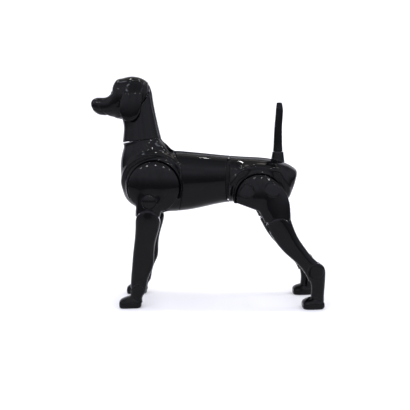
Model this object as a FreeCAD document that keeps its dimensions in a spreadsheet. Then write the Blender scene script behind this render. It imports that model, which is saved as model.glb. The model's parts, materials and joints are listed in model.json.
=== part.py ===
"""Posable dog mannequin: moulded shells on friction pivots.

Millimetres, +Z up. The dog faces -X, its left side is at -Y, and the origin is on the floor, under the
middle of the object's box. Everything is modelled on the left side, and the right side is its mirror image.
"""

import FreeCAD
import Part
import Sketcher

import math
import os

V = FreeCAD.Vector
DOWN_Y = V(0, -1, 0)
UP_Z = V(0, 0, 1)

SIZES = {
    # walls and clearances
    "wall_thickness": 3.0,
    "end_wall": 4.0,
    "knuckle_gap": 0.6,
    "face_gap": 0.5,
    "seam_gap": 0.3,
    "waist_gap": 0.6,
    "link_gap": 0.3,
    "plug_gap": 0.15,
    "pivot_clearance": 0.06,
    # shoulder and hip seats
    "shoulder_disc_radius": 51.0,
    "shoulder_seat_radius": 53.5,
    "shoulder_boss_radius": 57.0,
    "hip_disc_radius": 46.0,
    "hip_seat_radius": 48.5,
    "hip_boss_radius": 52.0,
    "seat_depth": 45.0,
    "boss_reach": 48.0,
    "disc_rim_reach": 56.0,
    "disc_crown_reach": 67.0,
    # limb planes, measured out from the middle
    "elbow_link_plane": 58.0,
    "knee_link_plane": 56.0,
    "long_pin_plane": 53.5,
    "foreleg_plane": 52.0,
    "hindleg_plane": 53.0,
    # knuckles
    "elbow_radius": 24.5,
    "wrist_radius": 13.5,
    "knee_radius": 26.5,
    "knee_stop_angle": 41.5,
    "hock_radius": 17.0,
    "nod_radius": 60.0,
    # pivots
    "stud_radius": 5.0,
    "stud_flange_radius": 9.0,
    "stud_flange_thick": 3.0,
    "stud_inner_reach": 37.5,
    "stud_outer_reach": 56.0,
    "pin_radius": 4.0,
    "small_pin_radius": 3.0,
    "long_pin_length": 28.0,
    "short_pin_length": 18.0,
    "link_radius": 8.0,
    "link_thickness": 8.0,
    "tongue_thickness": 6.0,
    "nod_pin_length": 36.0,
    "post_thickness": 10.0,
    "waist_pin_length": 32.0,
    "waist_lug_radius": 11.0,
    "waist_lug_thick": 9.0,
    # trim and fasteners
    "plug_radius": 14.0,
    "plug_thickness": 4.0,
    "screw_radius": 1.7,
    "screw_head_radius": 3.4,
    "screw_head_height": 2.6,
    "screw_length": 16.0,
    "screw_post_radius": 5.5,
    "tail_root_radius": 9.6,
    "tail_tip_radius": 5.6,
    "tail_height": 100.5,
    "tail_plug_radius": 6.0,
    "tail_plug_length": 20.0,
    "collar_base_radius": 14.5,
    "collar_top_radius": 11.5,
    "collar_height": 22.0,
}

doc = FreeCAD.newDocument("dog_mannequin")
sheet = doc.addObject("Spreadsheet::Sheet", "Sizes")
for row, (alias, value) in enumerate(SIZES.items(), 1):
    sheet.set(f"A{row}", alias)
    sheet.set(f"B{row}", str(value))
    sheet.setAlias(f"B{row}", alias)
doc.recompute()

nodes = {}


def size(alias):
    """A cell of the sheet, as a number."""
    return float(sheet.get(alias))


WALL = size("wall_thickness")
GAP = size("knuckle_gap")

# Joint centres in the side view, as (x, z)
SHOULDER = (-108, 245)
ELBOW = (-119.5, 175)
WRIST = (-141, 33)
HIP = (104, 226)
KNEE = (143.5, 159.5)
HOCK = (222, 78)
NOD = (-179, 442)
WAIST_X = 47
NECK_FRONT = (-177, 335.5)
NECK_BACK = (-97, 347.5)
TAIL_FOOT = V(147, 0, 297)


# ---------------------------------------------------------------- shape helpers

def side(point, y=0):
    """A point of the side view as a vector, at the distance y to the left of the middle."""
    return V(point[0], -y, point[1])


def superellipse(angle, fullness):
    """The unit superellipse's (cosine, sine) at an angle in degrees."""
    cosine = math.cos(math.radians(angle))
    sine = math.sin(math.radians(angle))
    power = 2 / fullness
    return (math.copysign(abs(cosine) ** power, cosine), math.copysign(abs(sine) ** power, sine))


def half_section(low, high, half_width, inset=0.0, fullness=2.3):
    """The left half of a trunk section, closed along the middle. low and high are its ends (x, z)."""
    along = side(high) - side(low)
    middle = (side(high) + side(low)) * 0.5
    reach = along.Length / 2 - inset
    along.normalize()
    points = []
    for angle in range(-90, 91, 15):
        across, lift = superellipse(angle, fullness)
        points.append(middle + along * (reach * lift) + DOWN_Y * ((half_width - inset) * across))
    curve = Part.BSplineCurve()
    curve.interpolate(Points=points, InitialTangent=DOWN_Y, FinalTangent=V(0, 1, 0))
    overlap = V(0, 1, 0) if inset else V(0, 0, 0)
    edges = [curve.toShape()]
    if inset:
        edges.append(Part.makeLine(points[-1], points[-1] + overlap))
        edges.append(Part.makeLine(points[-1] + overlap, points[0] + overlap))
        edges.append(Part.makeLine(points[0] + overlap, points[0]))
    else:
        edges.append(Part.makeLine(points[-1], points[0]))
    return Part.Wire(edges)


def limb_section(front, back, plane, half_width, inset=0.0, fullness=2.2):
    """A closed limb section whose ends in the side view are front and back, centred on a plane."""
    along = side(back) - side(front)
    middle = (side(front, plane) + side(back, plane)) * 0.5
    reach = along.Length / 2 - inset
    along.normalize()
    points = []
    for angle in range(45, 405, 24):
        ahead, across = superellipse(angle, fullness)
        points.append(middle + along * (reach * ahead) + DOWN_Y * ((half_width - inset) * across))
    curve = Part.BSplineCurve()
    curve.interpolate(Points=points, PeriodicFlag=True)
    return Part.Wire([curve.toShape()])


def half_loft(sections, inset=0.0):
    return Part.makeLoft([half_section(*s, inset=inset) for s in sections], True, False)


def limb_loft(sections, inset=0.0):
    return Part.makeLoft([limb_section(*s, inset=inset) for s in sections], True, False)


def pivot_cylinder(centre, radius, inner, outer):
    """A cylinder across the dog, from the distance inner to the distance outer left of the middle."""
    return Part.makeCylinder(radius, outer - inner, side(centre, inner), DOWN_Y)


def half_space(centre, angle, reach=500.0):
    """The slab of space on the left of a ray from centre, drawn at an angle in the side view."""
    direction = V(math.cos(math.radians(angle)), 0, math.sin(math.radians(angle)))
    normal = V(-direction.z, 0, direction.x)
    origin = side(centre, reach / 2)
    corners = [origin - direction * reach, origin + direction * reach]
    corners += [corners[1] + normal * reach, corners[0] + normal * reach]
    return Part.Face(Part.makePolygon(corners + corners[:1])).extrude(V(0, reach, 0))


def sector(centre, radius, start, stop, inner, outer):
    """A wedge about a pivot in the side view, between two angles, as thick as inner to outer."""
    middle = (start + stop) / 2
    rim = [
        side(centre, inner) + V(math.cos(a), 0, math.sin(a)) * radius
        for a in (math.radians(start), math.radians(middle), math.radians(stop))
    ]
    hub = side(centre, inner)
    outline = Part.Wire([
        Part.makeLine(hub, rim[0]),
        Part.Arc(*rim).toShape(),
        Part.makeLine(rim[2], hub),
    ])
    return Part.Face(outline).extrude(DOWN_Y * (outer - inner))


def slab(x_low, x_high, z_low=-50.0, z_high=550.0, y_low=-150.0, y_high=150.0):
    corner = V(x_low, y_low, z_low)
    return Part.makeBox(x_high - x_low, y_high - y_low, z_high - z_low, corner)


def mirrored(shape):
    """The right-hand image of a left-hand shape."""
    return shape.mirror(V(0, 0, 0), V(0, 1, 0))


def biggest(shape):
    """The largest solid of a cut, without the crumbs that it may leave."""
    return max(shape.Solids, key=lambda solid: solid.Volume)


def keep(label, shape):
    """Puts a shape in the document as a sub-part."""
    feature = doc.addObject("Part::Feature", label)
    feature.Label = label
    feature.Shape = biggest(shape)
    feature.Placement = FreeCAD.Placement()
    nodes[label] = feature
    return feature


def keep_pair(label, shape):
    """Keeps a left-hand shape, and its mirror image on the right."""
    mirror_node(keep(f"{label}_left", shape), f"{label}_right")


def mirror_node(source, label):
    mirror = doc.addObject("Part::Mirroring", label)
    mirror.Label = label
    mirror.Source = source
    mirror.Normal = V(0, 1, 0)
    nodes[label] = mirror
    return mirror


def origin_plane(body, role):
    return next(f for f in body.Origin.OriginFeatures if f.Role == role)


def turned_body(label, steps, foot, axis):
    """A stepped round body. Each step is (radius, start, length), as expressions on the sheet."""
    body = doc.addObject("PartDesign::Body", label)
    body.Label = label
    for number, (radius, start, length) in enumerate(steps, 1):
        sketch = body.newObject("Sketcher::SketchObject", f"{label}_circle_{number}")
        sketch.AttachmentSupport = (origin_plane(body, "XY_Plane"), "")
        sketch.MapMode = "FlatFace"
        sketch.setExpression("AttachmentOffset.Base.z", start)
        circle = sketch.addGeometry(Part.Circle(V(0, 0, 0), UP_Z, 5), False)
        sketch.addConstraint(Sketcher.Constraint("Coincident", circle, 3, -1, 1))
        sketch.addConstraint(Sketcher.Constraint("Radius", circle, 5))
        sketch.setExpression("Constraints[1]", radius)
        pad = body.newObject("PartDesign::Pad", f"{label}_step_{number}")
        pad.Profile = sketch
        pad.setExpression("Length", length)
    body.Placement = FreeCAD.Placement(foot, FreeCAD.Rotation(UP_Z, axis))
    nodes[label] = body
    return body


def revolved_body(label, outline, foot, axis=UP_Z):
    """A body turned from an outline of (radius, height) expressions, about its own Z axis."""
    body = doc.addObject("PartDesign::Body", label)
    body.Label = label
    sketch = body.newObject("Sketcher::SketchObject", f"{label}_outline")
    sketch.AttachmentSupport = (origin_plane(body, "XZ_Plane"), "")
    sketch.MapMode = "FlatFace"
    rough = [V(10 * (n + 1), 7 * n, 0) for n in range(len(outline))]
    corners = [V(0, 0, 0)] + rough + [V(0, 7 * len(outline), 0)]
    last = len(corners) - 1
    for n, corner in enumerate(corners):
        sketch.addGeometry(Part.LineSegment(corner, corners[0 if n == last else n + 1]), False)
    for n in range(last + 1):
        following = 0 if n == last else n + 1
        sketch.addConstraint(Sketcher.Constraint("Coincident", n, 2, following, 1))
    sketch.addConstraint(Sketcher.Constraint("PointOnObject", 0, 1, -2))
    sketch.addConstraint(Sketcher.Constraint("PointOnObject", last, 1, -2))
    for n, (radius, height) in enumerate(outline, 1):
        across = sketch.addConstraint(Sketcher.Constraint("DistanceX", -1, 1, n, 1, 10.0))
        sketch.setExpression(f"Constraints[{across}]", radius)
        up = sketch.addConstraint(Sketcher.Constraint("DistanceY", -1, 1, n, 1, 10.0))
        sketch.setExpression(f"Constraints[{up}]", height)
    sketch.addConstraint(Sketcher.Constraint("Horizontal", 0))
    sketch.addConstraint(Sketcher.Constraint("Horizontal", last - 1))
    turn = body.newObject("PartDesign::Revolution", f"{label}_turn")
    turn.Profile = sketch
    turn.ReferenceAxis = (sketch, ["V_Axis"])
    turn.Angle = 360.0
    body.Placement = FreeCAD.Placement(foot, FreeCAD.Rotation(UP_Z, axis))
    nodes[label] = body
    return body


# ---------------------------------------------------------------- trunk

# Sections from the neck's foot, fanning round the withers, to the rump: low end, high end, half width
CHEST = [
    (NECK_FRONT, NECK_BACK, 37),
    ((-179, 306), (-90.5, 338), 41),
    ((-181.2, 277), (-84, 331.5), 45),
    ((-179.5, 247), (-79, 326), 48),
    ((-169, 216), (-75, 322.5), 50),
    ((-140, 197), (-71, 320.5), 50),
    ((-98, 191), (-67, 319), 49),
    ((-61, 193), (-60, 318.8), 48),
]
MIDDLE = [
    ((-8, 202), (-8, 314.7), 47),
    ((WAIST_X, 213), (WAIST_X, 310), 45),
]
RUMP = [
    ((80, 213), (84, 308), 47),
    ((112, 209), (119, 306), 49.5),
    ((140, 209), (147, 300.5), 48),
    ((160, 213.5), (167, 293.5), 42),
    ((171.5, 226), (179.5, 286.5), 33),
    ((179, 246), (186, 280.5), 21),
    ((184.5, 260.5), (188, 273.5), 9),
]


def seat_boss(centre, boss_radius):
    """The solid boss that carries a limb's round seat."""
    boss = pivot_cylinder(centre, boss_radius, 0, size("boss_reach"))
    outer_edge = [e for e in boss.Edges if abs(e.CenterOfMass.y + size("boss_reach")) < 0.1]
    return boss.makeFillet(2.5, [outer_edge[0]])


def shoulder_boss():
    """The shoulder's boss, cut back underneath so that the elbow swings clear of it."""
    boss = seat_boss(SHOULDER, size("shoulder_boss_radius"))
    sweep = sector(SHOULDER, 90, 205, 335, 24, 60)
    return boss.cut(sweep.cut(pivot_cylinder(SHOULDER, 44.5, 0, 100)))


def hip_boss():
    """The hip's boss, only as low as the rump's own flank."""
    boss = seat_boss(HIP, size("hip_boss_radius"))
    return boss.common(slab(0, 200, z_low=HIP[1] - 12.5))


def seat_cut(centre, seat_radius):
    """The recess of a limb's disc, and the bore of its pivot stud."""
    recess = pivot_cylinder(centre, seat_radius, size("seat_depth"), 100)
    bore_radius = size("stud_radius") + size("pivot_clearance")
    return recess.fuse(pivot_cylinder(centre, bore_radius, 20, 100))


def seat_plate(centre, seat_radius, outer):
    """The wall behind a seat's recess, as far as the trunk's skin."""
    depth = size("seat_depth")
    return pivot_cylinder(centre, seat_radius + WALL, depth - WALL, depth).common(outer)


def front_seam(offset=0.0):
    """The curved sheet between chest and middle: everything behind it, as a solid."""
    top = side((-69.5 + offset, 360), 100)
    above = side((-69.5 + offset, 320), 100)
    bulge = side((-52 + offset, 243), 100)
    below = side((-62 + offset, 188), 100)
    foot = side((-64 + offset, 150), 100)
    far_foot = side((300, 150), 100)
    far_top = side((300, 360), 100)
    outline = Part.Wire([
        Part.makeLine(top, above),
        Part.Arc(above, bulge, below).toShape(),
        Part.makeLine(below, foot),
        Part.makeLine(foot, far_foot),
        Part.makeLine(far_foot, far_top),
        Part.makeLine(far_top, top),
    ])
    return Part.Face(outline).extrude(V(0, 200, 0))


def waist_wedge(flank_setback, offset=0.0):
    """Everything behind a plane through the waist axis that leans forward towards the flank."""
    reach = 150.0
    start = V(WAIST_X + offset, 0, 150)
    flank = V(WAIST_X + offset - flank_setback * reach / 45.0, -reach, 150)
    corners = [start + V(0, 2, 0), start, flank, V(400, -reach, 150), V(400, 2, 150)]
    return Part.Face(Part.makePolygon(corners + corners[:1])).extrude(V(0, 0, 250))


def screw_posts(places, outer):
    """Round posts from the skin to the parting plane, for the screws that hold the halves."""
    posts = [pivot_cylinder(place, size("screw_post_radius"), 0, 60) for place in places]
    return [post.common(outer) for post in posts]


def screw_holes(places):
    """Pilot holes for the screws, which enter from the right-hand shell."""
    return [pivot_cylinder(place, size("screw_radius"), -1, size("screw_length") / 2) for place in places]


def screw_head_holes(places, outer_reach):
    """The same holes in the right-hand shell, drawn on the left: clear to the skin above the head."""
    holes = []
    for place in places:
        shaft = pivot_cylinder(place, size("screw_radius"), -1, size("screw_length") / 2)
        head = pivot_cylinder(place, size("screw_head_radius"), size("screw_length") / 2, outer_reach)
        holes += [shaft, head]
    return holes


def keep_screws(label, places):
    """A node of identical screws across the parting plane, heads to the right."""
    screws = []
    for number, place in enumerate(places, 1):
        steps = [
            ("Sizes.screw_radius", "0", "Sizes.screw_length"),
            ("Sizes.screw_head_radius", "Sizes.screw_length", "Sizes.screw_head_height"),
        ]
        foot = side(place, size("screw_length") / 2)
        screw = turned_body(f"{label}_{number}", steps, foot, V(0, 1, 0))
        del nodes[f"{label}_{number}"]
        screws.append(screw)
    group = doc.addObject("Part::Compound", label)
    group.Label = label
    group.Links = screws
    nodes[label] = group


def keep_halves(label, body, outer, places):
    """Left and right halves of a shell, with the screw posts and holes that join them."""
    for post in screw_posts(places, outer):
        body = body.fuse(post)
    left = body.cut(screw_holes(places))
    right = body.cut(screw_head_holes(places, 60))
    keep(f"{label}_left", left)
    keep(f"{label}_right", mirrored(biggest(right)))


CHEST_SCREWS = [(-152, 302), (-90, 310)]
MIDDLE_SCREWS = [(-30, 291), (-20, 224)]
RUMP_SCREWS = [(96, 290), (162, 272)]
NECK_SCREWS = [(-150, 361), (-118, 386)]


def make_trunk():
    sections = CHEST + MIDDLE + RUMP
    outer = half_loft(sections)
    hollow = half_loft(sections, WALL)

    # chest: from the neck's cut to the curved seam
    half_gap = size("seam_gap") / 2
    behind = front_seam(-half_gap)
    chest_outer = outer.cut(behind).fuse(shoulder_boss().cut(behind))
    room = hollow.cut(half_space((NECK_FRONT[0], NECK_FRONT[1] - size("end_wall")), neck_angle()))
    pocket = pivot_cylinder(SHOULDER, size("shoulder_boss_radius") - 16, -1, size("seat_depth") - WALL)
    chest = chest_outer.cut(room).cut(pocket)
    chest = chest.fuse(seat_plate(SHOULDER, size("shoulder_seat_radius"), chest_outer))
    chest = chest.cut(seat_cut(SHOULDER, size("shoulder_seat_radius"))).cut(neck_bore())
    keep_halves("chest_shell", chest, chest_outer, CHEST_SCREWS)

    # middle: from the curved seam to the waist
    waist_half_gap = size("waist_gap") / 2
    middle_outer = outer.common(front_seam(half_gap)).cut(waist_wedge(9.8, -waist_half_gap))
    middle = middle_outer.cut(hollow)
    middle = middle.cut(pivot_cylinder(SHOULDER, size("shoulder_boss_radius") + size("seam_gap"), 0, 100))
    keep_halves("middle_shell", middle, middle_outer, MIDDLE_SCREWS)

    # rear: from the waist to the rump
    rear_outer = outer.common(waist_wedge(3.3, waist_half_gap)).fuse(hip_boss())
    pocket = pivot_cylinder(HIP, size("hip_boss_radius") - 6, -1, size("seat_depth") - WALL)
    pocket = pocket.common(slab(0, 300, z_low=HIP[1] - size("stud_flange_radius") - 1))
    rear = rear_outer.cut(hollow).cut(pocket)
    rear = rear.fuse(seat_plate(HIP, size("hip_seat_radius"), rear_outer))
    rear = rear.cut(seat_cut(HIP, size("hip_seat_radius"))).cut(collar_bore())
    keep_halves("rear_shell", rear, rear_outer, RUMP_SCREWS)

    keep_screws("body_screws", CHEST_SCREWS + MIDDLE_SCREWS)
    keep_screws("rear_screws", RUMP_SCREWS)
    make_joining_ring(sections)
    make_waist(hollow, sections)


def make_joining_ring(sections):
    """The ring inside the seam that lines up chest and middle."""
    ring = half_loft(sections, WALL).cut(half_loft(sections, 2 * WALL))
    ring = ring.common(slab(-58, -34, y_high=0))
    ring = ring.cut(pivot_cylinder(SHOULDER, size("shoulder_boss_radius") + size("seam_gap"), 0, 100))
    for place in CHEST_SCREWS + MIDDLE_SCREWS:
        ring = ring.cut(pivot_cylinder(place, size("screw_post_radius") + 0.2, -1, 60))
    keep("joining_ring", ring.fuse(mirrored(ring)).removeSplitter())


def make_waist(hollow, sections):
    """Two brackets that fill the trunk's section, with lugs that cross at the vertical waist pin.

    The front bracket carries a sleeve that reaches into the rear shell and closes the gap between them.
    """
    lug_radius = size("waist_lug_radius")
    thick = size("waist_lug_thick")
    middle_height = 261.0
    bore_radius = size("pin_radius") + size("pivot_clearance")

    def plate(x_low, x_high):
        half = hollow.common(slab(x_low, x_high, y_low=0.5 + WALL - size("seat_depth"), y_high=0))
        return half.fuse(mirrored(half)).removeSplitter()

    def lug(z_low, x_plate, radius):
        foot = V(WAIST_X, 0, z_low)
        eye = Part.makeCylinder(lug_radius, thick, foot)
        start = min(x_plate, WAIST_X)
        arm = Part.makeBox(abs(x_plate - WAIST_X), 2 * lug_radius, thick, V(start, -lug_radius, z_low))
        return eye.fuse(arm).cut(Part.makeCylinder(radius, thick, foot))

    sleeve = half_loft(sections, 2 * WALL + 0.5).cut(half_loft(sections, 3 * WALL))
    sleeve = sleeve.common(slab(17.5, WAIST_X + 15, y_high=0))
    sleeve = sleeve.fuse(mirrored(sleeve))
    front = plate(14, 18).fuse(sleeve).fuse(lug(middle_height - thick / 2, 18, bore_radius))
    keep("waist_front_bracket", front.removeSplitter())
    rear = plate(72, 76)
    play = size("waist_gap") / 2
    for z_low in (middle_height - 1.5 * thick - play, middle_height + thick / 2 + play):
        rear = rear.fuse(lug(z_low, 72, size("pin_radius")))
    keep("waist_rear_bracket", rear.removeSplitter())
    foot = V(WAIST_X, 0, middle_height - size("waist_pin_length") / 2)
    turned_body("waist_pin", [("Sizes.pin_radius", "0", "Sizes.waist_pin_length")], foot, UP_Z)


# ---------------------------------------------------------------- neck and head

NECK = [
    ((-177, 336.1), (-97, 348.1), 36.5),
    ((-175, 352), (-101.5, 363.5), 33.5),
    ((-174, 366), (-106, 383), 31),
    ((-176.5, 380), (-110.5, 404), 29),
    ((-180, 395), (-114, 424), 27.5),
    ((-172, 418), (-116.5, 442), 26),
    ((-150, 440), (-121, 457), 20),
]
HEAD = [
    ((-240, 409), (-241, 417), 6),
    ((-237, 401.5), (-238, 423.5), 11),
    ((-230, 395.5), (-230, 427.5), 13.8),
    ((-216, 391.5), (-214, 427.5), 15.2),
    ((-205, 390), (-204, 431), 17.5),
    ((-197, 388.5), (-197, 442), 20.5),
    ((-190, 386), (-191, 455.5), 23.5),
    ((-181, 382), (-183, 463.5), 26),
    ((-165, 378), (-165, 468.8), 28),
    ((-148, 381), (-148, 469.2), 28),
    ((-134, 391), (-134, 465), 25),
    ((-124, 404), (-124, 457), 20),
]
EAR = [
    # height, middle, half length, distance out, half thickness
    (459.5, -149, 6, 25.5, 2.5),
    (455, -149, 14, 27.5, 4.2),
    (441, -150.5, 18, 31, 5),
    (421, -153.5, 20.5, 34.4, 4.6),
    (401, -156, 21, 36.6, 3.8),
    (386, -157.5, 16.5, 36.8, 3.4),
    (377, -158.5, 7, 36.4, 2.2),
]
POST_ANGLE = -50.0


def neck_angle():
    """The slope of the neck's cut in the side view, in degrees."""
    return math.degrees(math.atan2(NECK_BACK[1] - NECK_FRONT[1], NECK_BACK[0] - NECK_FRONT[0]))


def neck_normal():
    along = side(NECK_BACK) - side(NECK_FRONT)
    along.normalize()
    return V(-along.z, 0, along.x)


def neck_middle():
    return (side(NECK_BACK) + side(NECK_FRONT)) * 0.5


def neck_bore():
    radius = size("stud_radius") + size("pivot_clearance")
    return Part.makeCylinder(radius, 30, neck_middle() - neck_normal() * 20, neck_normal())


def nod_sphere(extra):
    """The ball about the nod pin. Its poles and its seam line lie clear of the throat and nape."""
    sphere = Part.makeSphere(size("nod_radius") + extra)
    sphere.rotate(V(0, 0, 0), V(1, 0, 0), 90)
    sphere.rotate(V(0, 0, 0), V(0, 1, 0), 180)
    sphere.translate(side(NOD))
    return sphere


def nod_region(extra):
    """The space behind the throat that lies outside the nod's sphere."""
    return slab(NOD[0] - 6, 0, z_low=300, y_low=-80, y_high=80).cut(nod_sphere(extra))


def neck_post():
    """The post that rises from the neck's cup to the nod pin."""
    direction = V(math.cos(math.radians(POST_ANGLE)), 0, math.sin(math.radians(POST_ANGLE)))
    normal = V(-direction.z, 0, direction.x)
    half = size("post_thickness") / 2
    reach = size("nod_radius") + 6
    width = size("link_radius") - 2
    start = side(NOD, half)
    corners = [start - normal * width, start + normal * width]
    corners += [corners[1] + direction * reach, corners[0] + direction * reach]
    arm = Part.Face(Part.makePolygon(corners + corners[:1])).extrude(V(0, 2 * half, 0))
    eye = Part.makeCylinder(width, 2 * half, side(NOD, half), V(0, 1, 0))
    bore_radius = size("small_pin_radius") + size("pivot_clearance")
    bore = Part.makeCylinder(bore_radius, 4 * half, side(NOD, 2 * half), V(0, 1, 0))
    return arm.fuse(eye).cut(bore)


def make_neck():
    outer = half_loft(NECK).cut(nod_sphere(GAP))
    foot = (NECK_FRONT[0], NECK_FRONT[1] + GAP + size("end_wall"))
    room = half_loft(NECK, WALL).common(half_space(foot, neck_angle())).cut(nod_sphere(GAP + WALL + 1))
    stud = Part.makeCylinder(size("stud_radius"), 30, neck_middle() - neck_normal() * 5, neck_normal())
    shell = biggest(outer).cut(room).cut(stud).cut(neck_post())
    keep_halves("neck_shell", shell, outer, NECK_SCREWS)
    keep("neck_post", neck_post())
    keep_screws("neck_screws", NECK_SCREWS)

    flange = "Sizes.stud_flange_thick"
    steps = [
        ("Sizes.stud_flange_radius", "0", flange),
        ("Sizes.stud_radius", "0", "2 * Sizes.stud_flange_thick + 2 * Sizes.end_wall + 1.2"),
        ("Sizes.stud_flange_radius", "Sizes.stud_flange_thick + 2 * Sizes.end_wall + 1.2", flange),
    ]
    depth = size("end_wall") + size("stud_flange_thick") + 0.3
    turned_body("neck_pivot", steps, neck_middle() - neck_normal() * depth, neck_normal())


def ear():
    sections = [
        limb_section((middle - half, height), (middle + half, height), out, thick)
        for height, middle, half, out, thick in EAR
    ]
    return Part.makeLoft(sections, True, False)


def head_loft(sections, inset=0.0):
    """The head's form, both sides of the middle."""
    outlines = [
        limb_section(low, high, 0, half_width, inset=inset, fullness=2.3)
        for low, high, half_width in sections
    ]
    return Part.makeLoft(outlines, True, False)


def make_head():
    outer = head_loft(HEAD)
    solid = outer.cut(nod_region(0)).common(slab(-300, 0, y_high=0))
    room = head_loft(HEAD[1:], WALL).cut(nod_region(-WALL - 1))
    pin_post = pivot_cylinder(NOD, 8, size("post_thickness") / 2 + 0.4, 60).common(solid)
    slot = sector(NOD, 75, POST_ANGLE - 36, POST_ANGLE + 34, -1, size("post_thickness") / 2 + 0.4)
    pin_hole = pivot_cylinder(NOD, size("small_pin_radius"), -1, size("nod_pin_length") / 2)
    shell = solid.cut(room).fuse(pin_post).cut(slot).cut(pin_hole)
    keep_pair("head_shell", shell)
    foot = side(NOD, size("nod_pin_length") / 2)
    turned_body("nod_pin", [("Sizes.small_pin_radius", "0", "Sizes.nod_pin_length")], foot, V(0, 1, 0))
    keep_pair("ear", ear().cut(outer))


# ---------------------------------------------------------------- forelegs

FORELEG = [
    # front, back, plane, half width
    ((-140, 232), (-80, 222), 58, 8),
    ((-144.5, 204), (-92, 200), 58.2, 10.4),
    ((-144.5, 190), (-94, 188), 55.5, 13.5),
    ((-144.5, 174), (-95, 173), 53, 16.3),
    ((-146.5, 140), (-103, 141), 52.4, 14.8),
    ((-150, 110), (-107.5, 112), 52, 13.2),
    ((-152, 86), (-109.5, 84), 52, 12.2),
    ((-154, 64), (-118, 64), 52, 11.4),
    ((-155, 47), (-122.5, 46), 52, 11.4),
    ((-155.5, 30), (-126.5, 29), 52, 11.8),
    ((-156.5, 12), (-131, 10), 52, 12.4),
]
PAW = [
    # low end, high end, plane, half width
    ((-177.5, 3), (-178, 10), 52, 8),
    ((-174.5, -3), (-175, 16.5), 52, 14),
    ((-168, -4), (-168, 20), 52, 17),
    ((-159, -4), (-159, 23), 52, 17.4),
    ((-149, -4), (-149, 24), 52, 15.5),
    ((-140, -3), (-139, 20), 52, 13.5),
    ((-133.5, 2), (-133, 13), 52, 8),
]


LINK_TOP = (-116, 217)


def disc_dome(centre, radius):
    """A limb's round disc: a short rim and a low dome over it."""
    rim = size("disc_rim_reach")
    crown = size("disc_crown_reach")
    back = size("seat_depth") + size("face_gap")
    rise = crown - rim
    sphere_radius = (radius ** 2 + rise ** 2) / (2 * rise)
    column = pivot_cylinder(centre, radius, back, crown + 1)
    dome = column.common(Part.makeSphere(sphere_radius, side(centre, crown - sphere_radius)))
    edges = [e for e in dome.Edges if abs(e.CenterOfMass.y + rim) < 1.0 and e.Closed]
    return dome.makeFillet(4.0, edges) if edges else dome


def stud_hole(centre):
    return pivot_cylinder(centre, size("stud_radius"), 20, size("stud_outer_reach"))


def link_slot(centre, thickness, radius, start, stop, plane):
    """The slot in a knuckle for a tongue of some thickness, open between two angles."""
    inner = plane - thickness / 2 - size("link_gap")
    outer = plane + thickness / 2 + size("link_gap")
    eye = pivot_cylinder(centre, radius, inner, outer)
    return eye.fuse(sector(centre, 60, start, stop, inner, outer))


def link_plate(label, pivot, anchor, plane):
    """A straight plate with round ends between a pivot and its anchor, bored at the pivot."""
    along = side(anchor) - side(pivot)
    turn = FreeCAD.Rotation(V(1, 0, 0), along)
    half = size("link_thickness") / 2
    parts = []
    for name, point in (("eye", pivot), ("anchor", anchor)):
        disc = doc.addObject("Part::Cylinder", f"{label}_{name}")
        disc.setExpression("Radius", "Sizes.link_radius")
        disc.setExpression("Height", "Sizes.link_thickness")
        disc.Placement = FreeCAD.Placement(side(point, plane - half), FreeCAD.Rotation(UP_Z, DOWN_Y))
        parts.append(disc)
    arm = doc.addObject("Part::Box", f"{label}_arm")
    arm.Length = along.Length
    arm.setExpression("Width", "Sizes.link_thickness")
    arm.setExpression("Height", "2 * Sizes.link_radius")
    across = turn.multVec(V(0, 0, 1)) * size("link_radius")
    arm.Placement = FreeCAD.Placement(side(pivot, plane + half) - across, turn)
    parts.append(arm)
    plate = doc.addObject("Part::MultiFuse", f"{label}_plate")
    plate.Shapes = parts
    bore = doc.addObject("Part::Cylinder", f"{label}_bore")
    bore.setExpression("Radius", "Sizes.pin_radius + Sizes.pivot_clearance")
    bore.setExpression("Height", "Sizes.link_thickness")
    bore.Placement = parts[0].Placement
    cut = doc.addObject("Part::Cut", f"{label}_left")
    cut.Label = f"{label}_left"
    cut.Base = plate
    cut.Tool = bore
    doc.recompute()
    nodes[cut.Label] = cut
    mirror_node(cut, f"{label}_right")
    return cut.Shape


def cross_pin(label, centre, radius, length, plane):
    """A cross pin of a limb's joint, on both sides."""
    foot = side(centre, plane - size(length) / 2)
    pin = turned_body(f"{label}_left", [(f"Sizes.{radius}", "0", f"Sizes.{length}")], foot, DOWN_Y)
    mirror_node(pin, f"{label}_right")
    return pivot_cylinder(centre, size(radius), plane - size(length) / 2, plane + size(length) / 2)


def pivot_stud(label, centre):
    """The flanged stud that holds a limb's disc against its seat."""
    steps = [
        ("Sizes.stud_flange_radius", "0", "Sizes.stud_flange_thick"),
        ("Sizes.stud_radius", "0", "Sizes.stud_outer_reach - Sizes.stud_inner_reach"),
    ]
    foot = side(centre, size("stud_inner_reach"))
    mirror_node(turned_body(f"{label}_left", steps, foot, DOWN_Y), f"{label}_right")


def keep_limb_halves(label, shape, parting):
    """The inner and outer half shells of a limb, on both sides."""
    outer_side = slab(-400, 400, y_low=-200, y_high=-parting)
    keep_pair(f"{label}_outer", shape.common(outer_side))
    keep_pair(f"{label}_inner", shape.cut(outer_side))


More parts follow.
